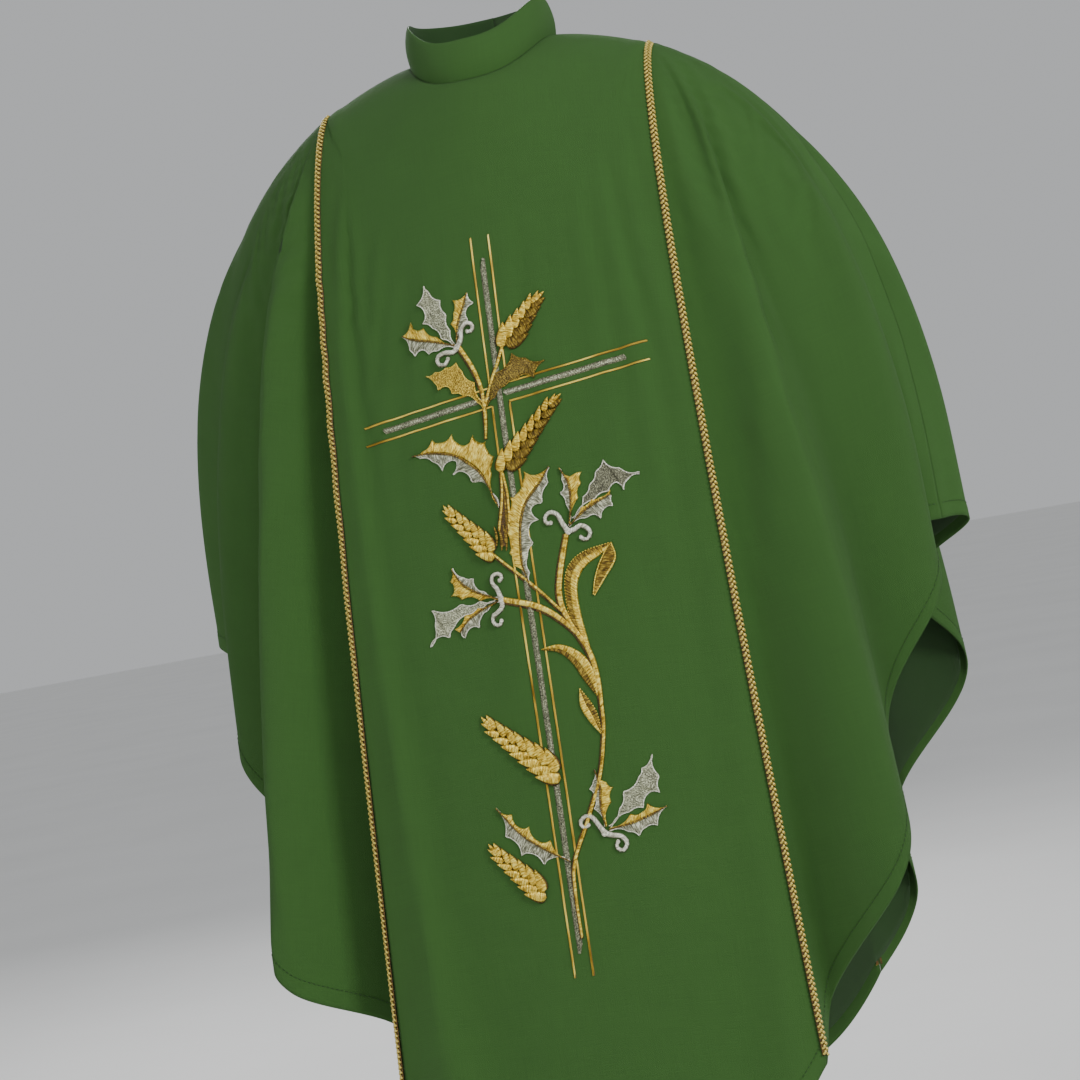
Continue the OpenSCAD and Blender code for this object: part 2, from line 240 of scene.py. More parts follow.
def cubic(grid, row, col):
    """Smooth look-up in a grid that wraps round in its columns."""
    rows, cols = grid.shape[:2]
    r0, c0 = np.floor(row).astype(int), np.floor(col).astype(int)
    fr, fc = row - r0, col - c0

    def weights(f):
        return [((2 - f) * f - 1) * f / 2, (f * f * (3 * f - 5) + 2) / 2,
                ((4 - 3 * f) * f + 1) * f / 2, (f - 1) * f * f / 2]

    total = 0
    for i, wr in enumerate(weights(fr)):
        for j, wc in enumerate(weights(fc)):
            value = grid[np.clip(r0 + i - 1, 0, rows - 1), (c0 + j - 1) % cols]
            total = total + (wr * wc)[..., None] * value
    return total


def value_noise(x, y, seed):
    """Smooth noise from -1 to 1, about one bump for each unit of x and y."""
    table = np.random.default_rng(seed).uniform(-1, 1, (64, 64, 1))
    return cubic(np.tile(table, (2, 1, 1)), np.mod(x, 64) + 1, np.mod(y, 64))[..., 0]


def away_from_braids(turn, s):
    """The braids stiffen the cloth beside them: 0.25 on a panel's edge and 1 away from it."""
    back = np.cos(np.radians(turn)) < 0
    edge = np.where(back, edge_turn(s, True), edge_turn(s, False))
    gap = np.abs(np.degrees(np.arcsin(np.abs(np.sin(np.radians(turn))))) - edge)
    return 1 - 0.75 * np.exp(-(gap / 7) ** 2)


def wrinkles(turn, s):
    """Shallow uneven waves that deepen towards the hem and die out at the neck."""
    slow = value_noise(turn / 14 + 20, s * 5 + 3, 11)
    quick = value_noise(turn / 5 + 20, s * 11 + 7, 12)
    return np.clip(s * 4, 0, 1) * away_from_braids(turn, s) * (2.2 * slow + 0.5 * quick)


def draped(turn, s):
    s = np.clip(s, 0, 1)
    moved = cubic(SETTLED, s * (DRAPE_ROWS - 1), np.mod(turn, 360) / 360 * DRAPE_TURNS)
    moved = moved * away_from_braids(turn, s)[..., None]
    return hang(turn, s) + moved + wrinkles(turn, s)[..., None] * outward(turn)


def cloth(turn, s, height=0.0):
    """A point at a height above the outer face of the cloth."""
    turn, s = np.broadcast_arrays(np.asarray(turn, float), np.asarray(s, float))
    down = draped(turn, s + 0.002) - draped(turn, s - 0.002)
    normal = unit(np.cross(down, draped(turn + 0.3, s) - draped(turn - 0.3, s)))
    return draped(turn, s) + np.asarray(height)[..., None] * normal


# ---- Making pieces
class Piece:
    """Collects patches of mesh, each with a material and a map in millimetres, then makes one object."""

    def __init__(self, name, *materials):
        self.name, self.materials = name, list(materials)
        self.points, self.faces, self.slots, self.maps = [], [], [], []
        self.count = 0

    def add(self, points, faces, uv, material=0):
        points = np.asarray(points, float).reshape(-1, 3)
        uv = np.asarray(uv, float).reshape(-1, 2)
        for face in faces:
            self.faces.append(tuple(i + self.count for i in face))
            self.slots.append(material)
        self.points.append(points)
        self.maps.append(uv)
        self.count += len(points)

    def make(self, body, node, slot):
        label = f"{self.name}_sewn"
        mesh = bpy.data.meshes.new(label)
        mesh.from_pydata((np.concatenate(self.points) * MM).tolist(), [], self.faces)
        layer = mesh.uv_layers.new(name="UVMap")
        loops = np.zeros(len(mesh.loops), int)
        mesh.loops.foreach_get("vertex_index", loops)
        layer.data.foreach_set("uv", np.concatenate(self.maps)[loops].ravel())
        for material in self.materials:
            mesh.materials.append(material)
        mesh.polygons.foreach_set("material_index", self.slots)
        mesh.polygons.foreach_set("use_smooth", [True] * len(mesh.polygons))
        mesh.update()
        obj = bpy.data.objects.new(label, mesh)
        bpy.context.collection.objects.link(obj)
        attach(obj, body)
        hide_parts(node)
        return obj


def slab(piece, outer, inner, uv, material=0):
    """A closed sheet between two grids of points."""
    rows, cols = outer.shape[:2]
    half = rows * cols
    faces = grid_faces(rows, cols)
    faces += [tuple(i + half for i in face[::-1]) for face in faces]
    edges = [range(0, half, cols), range(half - cols, half),
             range(half - 1, -1, -cols), range(cols - 1, -1, -1)]
    rim = [pair for edge in edges for pair in zip(edge, edge[1:])]
    faces += [(b, a, a + half, b + half) for a, b in rim]
    piece.add(np.concatenate([outer.reshape(-1, 3), inner.reshape(-1, 3)]), faces,
              np.concatenate([uv.reshape(-1, 2)] * 2), material)


def tube(piece, path, radius, sides=6, material=0, flat=1.0, up=None):
    """A closed tube along a path. up and flat squash it towards a surface."""
    path = np.asarray(path, float)
    radius = np.broadcast_to(radius, len(path))
    ahead = unit(np.gradient(path, axis=0))
    across = unit(np.cross(ahead, np.broadcast_to((0, 0, 1) if up is None else up, path.shape)))
    above = np.cross(across, ahead)
    angle = np.linspace(0, 2 * np.pi, sides, endpoint=False)
    ring = (np.cos(angle)[None, :, None] * across[:, None]
            + flat * np.sin(angle)[None, :, None] * above[:, None])
    points = path[:, None] + ring * radius[:, None, None]
    uv = np.stack(np.broadcast_arrays(distances(path)[:, None], angle[None, :]), -1)
    count = len(path)
    faces = grid_faces(count, sides, True)
    faces += [tuple(range(sides)), tuple(range(count * sides - 1, (count - 1) * sides - 1, -1))]
    piece.add(points, faces, uv, material)


# ---- Materials
class Look:
    """A material, and the few ways of joining nodes that the materials here use."""

    def __init__(self, name, roughness, metallic=0.0, specular=0.4, sheen=0.0, sheen_tint=(1, 1, 1)):
        self.material = bpy.data.materials.new(name)
        self.material.use_nodes = True
        self.nodes, self.links = self.material.node_tree.nodes, self.material.node_tree.links
        self.shader = self.nodes["Principled BSDF"]
        values = {"Roughness": roughness, "Metallic": metallic, "Specular IOR Level": specular,
                  "Sheen Weight": sheen, "Sheen Roughness": 0.5, "Sheen Tint": (*sheen_tint, 1)}
        for socket, value in values.items():
            self.shader.inputs[socket].default_value = value

    def uv(self, x_scale, y_scale):
        coordinates, mapping = self.nodes.new("ShaderNodeTexCoord"), self.nodes.new("ShaderNodeMapping")
        mapping.inputs["Scale"].default_value = (x_scale, y_scale, 1)
        self.links.new(coordinates.outputs["UV"], mapping.inputs["Vector"])
        return mapping.outputs["Vector"]

    def noise(self, vector, detail, scale=1.0):
        texture = self.nodes.new("ShaderNodeTexNoise")
        texture.inputs["Scale"].default_value = scale
        texture.inputs["Detail"].default_value = detail
        self.links.new(vector, texture.inputs["Vector"])
        return texture.outputs["Fac"]

    def math(self, operation, *values):
        node = self.nodes.new("ShaderNodeMath")
        node.operation = operation
        for socket, value in zip(node.inputs, values):
            if isinstance(value, (int, float)):
                socket.default_value = value
            else:
                self.links.new(value, socket)
        return node.outputs["Value"]

    def colour(self, value, *stops):
        node = self.nodes.new("ShaderNodeValToRGB")
        elements = node.color_ramp.elements
        while len(elements) < len(stops):
            elements.new(0.5)
        for element, (position, shade) in zip(elements, stops):
            element.position, element.color = position, (*shade, 1)
        self.links.new(value, node.inputs["Fac"])
        self.links.new(node.outputs["Color"], self.shader.inputs["Base Color"])

    def bump(self, height, distance):
        node = self.nodes.new("ShaderNodeBump")
        node.inputs["Distance"].default_value = distance * MM
        node.inputs["Strength"].default_value = 1
        self.links.new(height, node.inputs["Height"])
        self.links.new(node.outputs["Normal"], self.shader.inputs["Normal"])


def woven(name, colour, pitch, roughness, sheen, contrast=0.12, slub=0.10, depth=0.25):
    """Plain-woven cloth: crossing threads, with uneven threads and a faint mottling."""
    look = Look(name, roughness, sheen=sheen, sheen_tint=colour)
    parts = look.nodes.new("ShaderNodeSeparateXYZ")
    look.links.new(look.uv(1, 1), parts.inputs["Vector"])
    warp, weft = (look.math("SINE", look.math("MULTIPLY", parts.outputs[axis], 2 * math.pi / pitch))
                  for axis in "XY")
    weave = look.math("MULTIPLY", warp, weft)
    uneven = look.math("ADD", look.noise(look.uv(0.9, 0.02), 1), look.noise(look.uv(0.02, 0.9), 1))
    shade = look.math("MULTIPLY_ADD", weave, contrast / 2, 1.0)
    shade = look.math("MULTIPLY_ADD", uneven, slub, shade)
    shade = look.math("MULTIPLY_ADD", look.noise(look.uv(0.02, 0.02), 3), 0.12, shade)
    shades = [(at, tuple(min(1, part * c) for c in colour))
              for at, part in ((0.2, 0.72), (0.5, 1), (0.8, 1.28))]
    look.colour(look.math("SUBTRACT", shade, 0.56 + slub), *shades)
    look.bump(look.math("ADD", weave, uneven), depth)
    return look.material


def threaded(name, dark, middle, light, roughness, metallic, long):
    """Embroidery thread: each stitch catches the light differently from its neighbours.
    long is how fast the colour changes along a thread, for each millimetre."""
    look = Look(name, roughness, metallic, specular=0.5)
    stitches, patches = look.noise(look.uv(1.1 / STITCH, long), 3), look.noise(look.uv(0.10, 0.10), 2)
    value = look.math("MULTIPLY_ADD", stitches, 0.8, look.math("MULTIPLY", patches, 0.2))
    look.colour(value, (0.38, dark), (0.5, middle), (0.61, light))
    look.bump(look.noise(look.uv(5.0 / STITCH, 0.3), 1), 0.2)
    return look.material


STITCH = 1.5
SATIN, FILL = 0.16, 0.6
GREEN = woven("green_cloth", (0.039, 0.119, 0.018), 1.1, 0.85, 0.10, contrast=0.16, slub=0.16)
LINING_GREEN = woven("green_lining", (0.028, 0.082, 0.018), 0.9, 0.45, 0.05, contrast=0.06)
BACKING = woven("white_backing", (0.72, 0.69, 0.60), 1.3, 0.9, 0.1)
LABEL = woven("label_cloth", (0.80, 0.77, 0.68), 0.8, 0.6, 0.1)
THREADS = [threaded(*look) for look in (
    ("gold_thread", (0.32, 0.19, 0.010), (0.78, 0.56, 0.065), (1.0, 0.88, 0.22), 0.38, 0.6, SATIN),
    ("bronze_thread", (0.055, 0.030, 0.002), (0.20, 0.125, 0.012), (0.52, 0.37, 0.05), 0.42, 0.5, SATIN),
    ("brown_thread", (0.030, 0.014, 0.002), (0.085, 0.042, 0.006), (0.20, 0.11, 0.015), 0.5, 0.2, SATIN),
    ("silver_thread", (0.085, 0.085, 0.05), (0.29, 0.295, 0.20), (0.74, 0.755, 0.56), 0.38, 0.5, SATIN),
    # Darker silver: the right lily's big petal in its own colour, and painted shade at the silver bars' sides
    # and beside the curls
    ("dark_silver_thread", (0.035, 0.035, 0.02), (0.120, 0.119, 0.072), (0.34, 0.345, 0.22), 0.45, 0.4, FILL),
    ("pale_silver_thread", (0.36, 0.35, 0.26), (0.74, 0.73, 0.60), (1.0, 0.99, 0.88), 0.38, 0.3, SATIN),
    ("gold_fill", (0.13, 0.07, 0.003), (0.40, 0.275, 0.025), (0.82, 0.63, 0.11), 0.4, 0.5, FILL),
    ("bronze_fill", (0.045, 0.026, 0.002), (0.135, 0.088, 0.009), (0.36, 0.26, 0.034), 0.42, 0.5, FILL),
    ("silver_fill", (0.075, 0.075, 0.045), (0.28, 0.29, 0.19), (0.72, 0.74, 0.52), 0.4, 0.5, FILL),
    ("braid_thread", (0.26, 0.19, 0.03), (0.72, 0.56, 0.13), (1.0, 0.90, 0.36), 0.38, 0.45, SATIN))]
# Each thread's number among an embroidered piece's materials
(GOLD, BRONZE, BROWN, SILVER, DARK_SILVER, PALE,
 GOLD_FILL, BRONZE_FILL, SILVER_FILL, BRAID_GOLD) = range(len(THREADS))


# ---- Cloth panels
SEAM = 0.02
SIDE_TOP = 0.118
HEM_TOP = 0.978
BACKING_WIDTH = 7 / 8
# How high the faces of each flat layer lie, outer then inner; the cloth's own outer face is at 0
TAPE_LAYER, INTERFACING_LAYER, FACING_LAYER = (-1.3, -1.8), (-1.5, -1.9), (-1.6, -2.1)
LINING_HEIGHT, LINING_DROP, LINING_THICK = -2.6, 4.0, 0.5
# Where the two ends of a layer that goes all round the neck meet, in degrees from the front
BACK_MEETING = 179.995


def span(part, s):
    front, back = edge_turn(s, False), 180 - edge_turn(s, True)
    return {"front_centre": (SEAM - front, front - SEAM), "back_centre": (back + SEAM, 360 - back - SEAM),
            "front_left": (front + SEAM, 90 + 0 * s), "back_left": (90 + 0 * s, back - SEAM),
            "front_right": (-90 + 0 * s, -front - SEAM), "back_right": (SEAM - back, -90 + 0 * s),
            "front_backing": (-BACKING_WIDTH * front, BACKING_WIDTH * front),
            "back_backing": (180 - BACKING_WIDTH * (180 - back), 180 + BACKING_WIDTH * (180 - back)),
            "front": (-90 + 0 * s, 90 + 0 * s), "back": (90 + 0 * s, 270 + 0 * s)}[part]


def cloth_grid(part, first, last, cols, rows, height):
    """A grid of points on a panel, its columns closest together beside the crease."""
    s = (first + (last - first) * np.linspace(0, 1, rows) ** 1.15)[:, None]
    low, high = span(part, s)
    across = np.linspace(0, 1, cols)
    across = 1 - (1 - across) ** 1.5 if part == "front_right" else across
    turn = low + (high - low) * across[None, :]
    s = s + 0 * turn
    return cloth(turn, s, height if np.isscalar(height) else height(turn, s)), turn, s


def arc_map(points):
    """Distances along the cloth, across and down, from its first row and middle column."""
    across = np.linalg.norm(np.diff(points, axis=1), axis=-1)
    down = np.linalg.norm(np.diff(points, axis=0), axis=-1)
    x = np.concatenate([0 * across[:, :1], np.cumsum(across, 1)], 1)
    x -= x[:, x.shape[1] // 2][:, None]
    y = np.concatenate([0 * down[:1], np.cumsum(down, 0)], 0)
    return np.stack([x, y], -1)


def cloth_piece(name, part, first, last, cols, rows, outer, inner, material, slot, held="hung"):
    top, turn, s = cloth_grid(part, first, last, cols, rows, outer)
    under = cloth_grid(part, first, last, cols, rows, inner)[0]
    piece = Piece(name, material, LINING_GREEN)
    slab(piece, top, under, panel_map(top) if "centre" in name or "interfacing" in name else arc_map(top))
    if material is GREEN:
        hem_stitches(piece, part)
    obj = piece.make("garment", name, slot)


def panel_map(points):
    """Distances across and down a centre panel, which lies nearly in one plane."""
    return np.stack([points[..., 0], -points[..., 2] + 0.6 * np.abs(points[..., 1])], -1)


def hem_stitches(piece, part):
    """A row of running stitches along the top of the hem."""
    s = 0.979
    low, high = span(part, np.array(s))
    turns = np.linspace(low + 0.4, high - 0.4, 1200)
    line = cloth(turns, s, 0.05)
    steps = distances(line)
    for start in np.arange(2, steps[-1] - 4, 5.0):
        here = np.interp(start + np.array([0, 0.7, 1.6, 2.5, 3.2]), steps, turns)
        tube(piece, cloth(here, s, np.array([-0.3, 0.35, 0.5, 0.35, -0.3])), 0.42, 5, 1)


def hem_height(turn, s):
    """The turned-up hem makes the cloth a little thicker at its edge."""
    return 0.7 * np.clip((s - HEM_TOP) / 0.004, 0, 1)


def lining_height(turn, s):
    return LINING_HEIGHT - LINING_DROP * fold_growth(s)


def lining_under(turn, s):
    return lining_height(turn, s) - LINING_THICK


def make_cloth():
    for label in ("front", "back"):
        cloth_piece(f"{label}_centre_panel", f"{label}_centre", 0, 1, 80, 200,
                    hem_height, -CLOTH_THICK, GREEN, "green_cloth")
        for side in ("left", "right"):
            cloth_piece(f"{label}_{side}_panel", f"{label}_{side}", SIDE_TOP, 1, 190, 190,
                        hem_height, -CLOTH_THICK, GREEN, "green_cloth")
        cloth_piece(f"{label}_lining", label, 0.06, 0.985, 200, 110,
                    lining_height, lining_under, LINING_GREEN, "green_lining")
        cloth_piece(f"{label}_interfacing", f"{label}_backing", 0.1, 0.8, 120, 180,
                    *INTERFACING_LAYER, BACKING, "white_backing", held="stretched")


# ---- Neck: facing, collar layers, shoulder tapes, label and hanging loop
def collar_point(turn, rise, away):
    """rise is 0 at the neck seam and 1 at the top; away is the distance outside the neck edge."""
    edge = smooth_hang(turn, 0 * turn)
    reach = np.linalg.norm(edge[..., :2], axis=-1)
    lean = away - 4.5 * rise ** 2 + 2.2 * np.sin(np.pi * np.clip(rise, 0, 1))
    lean = lean + 0.8 * value_noise(turn / 22 + 5, rise * 2.2, 31) * np.clip(rise, 0, 1)
    point = edge * np.stack([1 + lean / reach, 1 + lean / reach, np.ones_like(reach)], -1)
    point[..., 2] += COLLAR_HEIGHT * rise + 1.0 * value_noise(turn / 30, 0 * rise, 32) * rise
    return point


def collar_wall(faces, top_faces, first, last, rows):
    """A standing wall round the neck, from its outer and inner distances; near the top edge these
    draw in to the distances that close the collar's edge."""
    rise = np.linspace(last, first, rows)[:, None]
    turn = np.linspace(-BACK_MEETING, BACK_MEETING, 145)[None, :] + 0 * rise
    rise = rise + 0 * turn
    near_top = np.clip((rise - 0.86) / 0.14, 0, 1) ** 2
    return [collar_point(turn, rise, low + (high - low) * near_top) for low, high in zip(faces, top_faces)]


TAPE_WIDTH = 12


def layer_piece(name, outer, inner, material, slot):
    piece = Piece(name, material)
    slab(piece, outer, inner, arc_map(outer))
    return piece.make("garment", name, slot)


def make_neck():
    layers = (("collar_outer", (-0.1, -1.3), (-1.0, -1.6), 1.0, GREEN, "green_cloth"),
              ("collar_interfacing", (-1.5, -2.0), (-1.5, -2.0), 0.92, BACKING, "white_backing"),
              ("collar_lining", (-2.2, -3.0), (-1.7, -2.2), 1.0, LINING_GREEN, "green_lining"))
    for name, faces, top_faces, top, material, slot in layers:
        obj = layer_piece(name, *collar_wall(faces, top_faces, -0.12, top, 22), material, slot)
    s = np.linspace(0.003, 0.075, 14)[:, None]
    turn = np.linspace(-BACK_MEETING, BACK_MEETING, 161)[None, :] + 0 * s
    outer, inner = (cloth(turn, s, height) for height in FACING_LAYER)
    obj = layer_piece("neck_facing", outer, inner, LINING_GREEN, "green_lining")
    for side, middle in (("left", 90), ("right", -90)):
        s = np.linspace(0.08, 0.99, 120)[:, None]
        each_degree = np.linalg.norm(cloth(middle + 1, s) - cloth(middle - 1, s), axis=-1) / 2
        turn = middle + np.linspace(-TAPE_WIDTH / 2, TAPE_WIDTH / 2, 5)[None, :] / each_degree
        s = s + 0 * turn
        outer, inner = (cloth(turn, s, height) for height in TAPE_LAYER)
        obj = layer_piece(f"{side}_shoulder_tape", outer, inner, BACKING, "white_backing")
    make_label()
    make_loop()


def make_label():
    s = np.linspace(0.083, 0.107, 12)[:, None]
    turn = 180 + np.linspace(-9, 9, 20)[None, :] + 0 * s
    puff = -3.6 - 0.5 * np.abs(np.sin((turn - 171) / 18 * np.pi))
    outer, inner = cloth(turn, s, puff), cloth(turn, s, puff - 0.4)
    piece = Piece("blank_label", LABEL, THREADS[GOLD])
    slab(piece, outer, inner, arc_map(outer))
    for row in (1, 10):
        tube(piece, inner[row, 1:-1], 0.35, material=1)
    for col in (1, 18):
        tube(piece, inner[1:-1, col], 0.35, material=1)
    piece.make("garment", "blank_label", "white_backing")


def make_loop():
    """A folded ribbon: down one side, round a bend and up the other."""
    low, high = (np.array(corner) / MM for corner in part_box("hanging_loop"))
    half, top, bottom = (high[0] - low[0]) / 2, high[2], low[2]
    middle_y = (low[1] + high[1]) / 2
    ribbon = 5.5
    reach = half - ribbon / 2
    corner = 9.0
    bends = np.linspace(0, np.pi / 2, 10)
    floor = bottom + ribbon / 2
    path = [(-reach, z) for z in np.linspace(top, floor + corner, 8)[:-1]]
    path += [(-reach + corner * (1 - math.cos(a)), floor + corner * (1 - math.sin(a))) for a in bends]
    path += [(x, floor) for x in np.linspace(-reach + corner, reach - corner, 14)[1:-1]]
    path += [(-x, z) for x, z in path[:17][::-1]]
    path = np.array([(x, middle_y, z) for x, z in path])
    across = np.cross(unit(np.gradient(path, axis=0)), (0, 1, 0))
    width = np.linspace(-0.5, 0.5, 7)
    grids = []
    for face in (0.45, -0.45):
        crown = face * (1 - 0.5 * np.abs(width) ** 2)
        grids.append(path[:, None] + across[:, None] * width[None, :, None] * ribbon
                     + np.array([0, 1, 0]) * crown[None, :, None])
    piece = Piece("hanging_loop", LINING_GREEN, GREEN)
    slab(piece, grids[1], grids[0], arc_map(grids[1]))
    for side in (-1, 1):
        for stitch in range(4):
            z = top - 2.0 - 0.2 * stitch
            x = side * reach - ribbon / 3 + stitch * ribbon / 4.5
            stitched = [(x, middle_y - 0.5, z), (x + 0.3, middle_y - 0.8, z - 1), (x, middle_y - 0.5, z - 2)]
            tube(piece, stitched, 0.22, material=1)
    piece.make("loop", "hanging_loop", "green_lining")


# ---- Places on a centre panel
PANEL_STEP = 3.0
PANEL_U = np.arange(-222, 223, PANEL_STEP)
PANEL_V = np.arange(-345, 822, PANEL_STEP)


def panel_places(back):
    """The points of a centre panel on a regular (u, v) grid, and their outward normals."""
    u, v = np.meshgrid(PANEL_U, PANEL_V)
    low, high = np.zeros_like(u), np.ones_like(u)
    for _ in range(24):
        s = (low + high) / 2
        above = level(s, back, u / side_x(s)) > -CROSS_DROP - v
        low, high = np.where(above, s, low), np.where(above, high, s)
    s = (low + high) / 2
    turn = np.degrees(np.arcsin(np.clip(u / side_x(s), -1, 1))) + (180 if back else 0)
    points = cloth(turn, s)
    return points, cloth(turn, s, 1.0) - points


PANELS = {back: panel_places(back) for back in (False, True)}


def on_panel(u, v, height, back=False):
    points, normals = PANELS[back]
    col = np.clip((u - PANEL_U[0]) / PANEL_STEP, 1, len(PANEL_U) - 3)
    row = np.clip((v - PANEL_V[0]) / PANEL_STEP, 1, len(PANEL_V) - 3)
    return cubic(points, row, col) + np.asarray(height)[..., None] * cubic(normals, row, col)


# ---- Stitches
def along(line, share):
    """Points at shares of a polyline's length."""
    line = np.asarray(line, float)
    steps = distances(line)
    where = np.clip(share, 0, 1) * steps[-1]
    return np.stack([np.interp(where, steps, line[:, 0]), np.interp(where, steps, line[:, 1])], -1)


def smooth_line(points, per_span=8):
    """A curve through a few points."""
    points = np.asarray(points, float)
    if len(points) < 3:
        return points
    ends = np.concatenate([[2 * points[0] - points[1]], points, [2 * points[-1] - points[-2]]])
    t = np.linspace(0, 1, per_span, endpoint=False)[:, None]
    curve = []
    for a, b, c, d in zip(ends, ends[1:], ends[2:], ends[3:]):
        curve.append(0.5 * (2 * b + (c - a) * t + (2 * a - 5 * b + 4 * c - d) * t ** 2
                            + (3 * b - a - 3 * c + d) * t ** 3))
    return np.concatenate(curve + [points[-1:]])


def line_length(line):
    return np.linalg.norm(np.diff(np.asarray(line, float), axis=0), axis=1).sum()


def satin(piece, left, right, thread, height=1.0, slant=0.0, base=0.0, split=None, pitch=STITCH, back=False,
          calm=1.0):
    """Threads laid side by side from one rail to the other, domed across and grooved between.
    split is the stitch length of a wide fill, where each thread dips into the cloth again, and
    calm below 1 makes neighbouring threads more alike."""
    left, right = np.asarray(left, float), np.asarray(right, float)
    length = (line_length(left) + line_length(right)) / 2
    threads = max(3, round(length / pitch))
    rows = 4 * threads + 1
    widest = np.linalg.norm(along(left, np.array([0.5])) - along(right, np.array([0.5])))
    cols = 7 if widest < 5 else 9 if split is None else max(9, 2 * round(widest / split * 2.5) + 1)
    share = np.linspace(0, 1, rows)[:, None]
    across = np.linspace(0, 1, cols)[None, :]
    seen = np.clip(share + slant * (across - 0.5), 0, 1)
    a, b = along(left, seen), along(right, seen)
    uv = a * (1 - across[..., None]) + b * across[..., None]
    width = np.linalg.norm(b - a, axis=-1)
    number = np.floor(np.linspace(0, threads, rows) - 1e-6)[:, None]
    dome = 1 - np.abs(2 * across - 1) ** 2.4
    groove = np.abs(np.sin(np.pi * threads * share))
    narrow = np.clip(width / 2.5, 0.15, 1)
    rise = height * narrow * (0.3 + 0.7 * dome) * (0.45 + 0.55 * groove)
    if split is not None:
        rise = height * (0.55 + 0.45 * np.minimum(1, 3 * dome)) * (0.5 + 0.5 * groove)
        phase = width * across / split + 0.5 * (number % 2)
        rise = rise * (1 - 0.5 * np.abs(np.cos(np.pi * phase)) ** 6)
    edge = (across == 0) | (across == 1)
    points = on_panel(uv[..., 0], uv[..., 1], base + np.where(edge, -0.5, rise), back)
    faces = grid_faces(rows, cols)
    at = lambda r, c: r * cols + c
    faces += [(at(r, 0), at(r, cols - 1), at(r + 1, cols - 1), at(r + 1, 0)) for r in range(rows - 1)]
    faces += [tuple(at(0, c) for c in range(cols)), tuple(at(rows - 1, c) for c in range(cols - 1, -1, -1))]
    turned = np.cross(b[rows // 2, 0] - a[rows // 2, 0], uv[-1, 0] - uv[0, 0]) < 0
    mapped = np.stack([seen * length * calm, width * across], -1)
    offset = np.array([37.0 * len(piece.faces) % 1000, 0])
    piece.add(points, [f[::-1] for f in faces] if turned else faces, mapped + offset, thread)


def sides_of(line, widths):
    """The two rails of a band of given widths along a line."""
    line = np.asarray(line, float)
    ahead = unit(np.gradient(line, axis=0))
    across = np.stack([-ahead[:, 1], ahead[:, 0]], -1) * np.asarray(widths, float).reshape(-1, 1) / 2
    return line - across, line + across


def band(piece, line, widths, thread, height=1.0, slant=0.0, base=0.0, back=False, calm=1.0):
    line = np.asarray(line, float)
    share = np.linspace(0, 1, max(2, int(line_length(line) / 3)))
    widths = np.atleast_1d(widths)
    widths = np.interp(share, np.linspace(0, 1, len(widths)), widths)
    left, right = sides_of(along(line, share), widths)
    satin(piece, left, right, thread, height, slant, base, back=back, calm=calm)


SHADOW = np.array([-0.9, 0.7])


def stem(piece, points, widths, thread=GOLD, height=1.7, base=0.5):
    """A gold stem over a wider brown one, which shows as a shadow along one side."""
    line = smooth_line(points)
    band(piece, line + SHADOW, np.atleast_1d(widths) * 1.15 + 1.2, BROWN, 0.9, base=base * 0.5)
    band(piece, line, widths, thread, height, slant=0.01, base=base, calm=0.5)


def running(piece, points, thread, base, dash=2.4, gap=1.5, width=1.3):
    """A line of running stitches."""
    line = smooth_line(points)
    length = line_length(line)
    for start in np.arange(0.5, length - dash, dash + gap):
        ends = along(line, np.array([start, start + dash]) / length)
        band(piece, ends, (width, width), thread, 0.9, base=base)


def outline(piece, edge, thread, base=1.2, width=1.5):
    band(piece, edge, (width, width), thread, 0.8, slant=0.03, base=base)


def scalloped(points, inside, hollow=0.16, per_span=6):
    """An edge through tips and notches, each span bowed a little towards the inside line."""
    points, inside = np.asarray(points, float), smooth_line(inside)
    t = np.linspace(0, 1, per_span, endpoint=False)[:, None]
    edge = []
    for a, b in zip(points, points[1:]):
        middle = (a + b) / 2
        nearest = inside[np.argmin(np.linalg.norm(inside - middle, axis=1))]
        normal = np.array([a[1] - b[1], b[0] - a[0]])
        normal *= np.sign(np.dot(normal, nearest - middle))
        edge.append(a + (b - a) * t + normal * hollow * 4 * t * (1 - t))
    return np.concatenate(edge + [points[-1:]])


def bulb(piece, centre, radius, thread, base):
    """A round satin knob."""
    half = np.linspace(0.04, np.pi - 0.04, 15)
    left = np.array(centre) + radius * np.stack([-np.sin(half), -np.cos(half)], -1)
    right = np.array(centre) + radius * np.stack([np.sin(half), -np.cos(half)], -1)
    satin(piece, left, right, thread, 1.8, 0.0, base, pitch=1.2)


def curl(piece, points, thread=PALE, widest=5.8, end=3.5, base=1.3):
    """A thick round cord of stitches that ends in a small spiral. The darker silver band set off to one side
    under it is a painted shadow.
    """
    line = smooth_line(points, 10)
    widths = widest + (end - widest) * np.linspace(0, 1, 12) ** 0.5
    band(piece, line + SHADOW * 0.4, widths + 1.0, DARK_SILVER, 0.7, base=base - 0.6)
    band(piece, line, widths, thread, 2.0, slant=0.01, base=base)
    bulb(piece, line[-1], 0.62 * end, thread, base + 0.1)


def grain(piece, foot, way, long, wide, thread, base):
    """One plump grain of wheat, blunt at its foot and pointed at its tip, on a brown shadow."""
    side = np.array([-way[1], way[0]])
    t = np.linspace(0, 1, 14)[:, None]
    belly = 2.35 * t ** 0.42 * (1 - t)
    middle = foot + way * long * t
    for spread, kind, high, low in ((1.22, BROWN, 0.7, base - 0.5), (1.0, thread, 2.0, base)):
        rails = [middle + sign * side * wide / 2 * spread * belly for sign in (-1, 1)]
        satin(piece, *rails, kind, high, 0.14, low, pitch=1.25)


